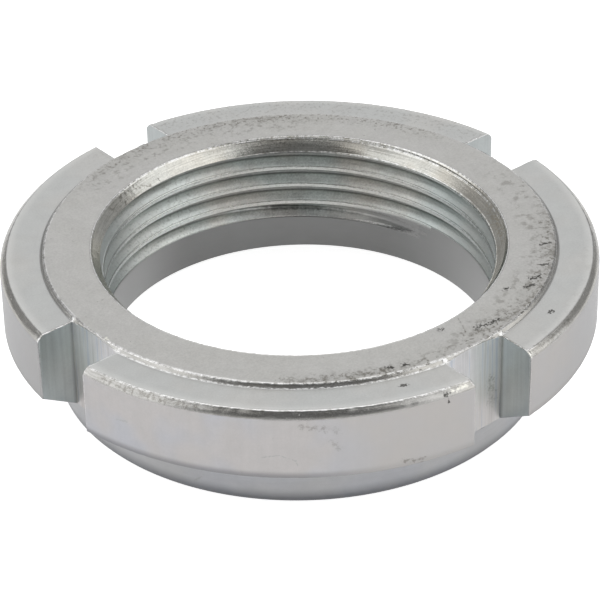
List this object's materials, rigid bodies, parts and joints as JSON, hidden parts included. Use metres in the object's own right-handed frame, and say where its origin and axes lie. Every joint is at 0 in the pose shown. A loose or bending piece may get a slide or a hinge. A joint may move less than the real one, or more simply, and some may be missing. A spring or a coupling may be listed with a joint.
{
  "type": "slotted round lock nut",
  "caption": "Round lock nut with a threaded bore, spanner slots round its rim, a low collar on top and a tapered hub with a rounded foot beneath.",
  "frame": {"origin": "on the nut's axis, in the plane of the bearing face that it rests on", "axes": "+Z along the axis towards the raised collar; the spanner slots lie on +X, +Y, -X and -Y"},
  "size_m": [0.0426, 0.0426, 0.0106],
  "materials": {
    "zinc_plated_steel": "bright zinc plating on turned and milled steel, satin, with small stains and nicks"
  },
  "bodies": {
    "root": {"lock_nut": "zinc_plated_steel"}
  },
  "joints": []
}
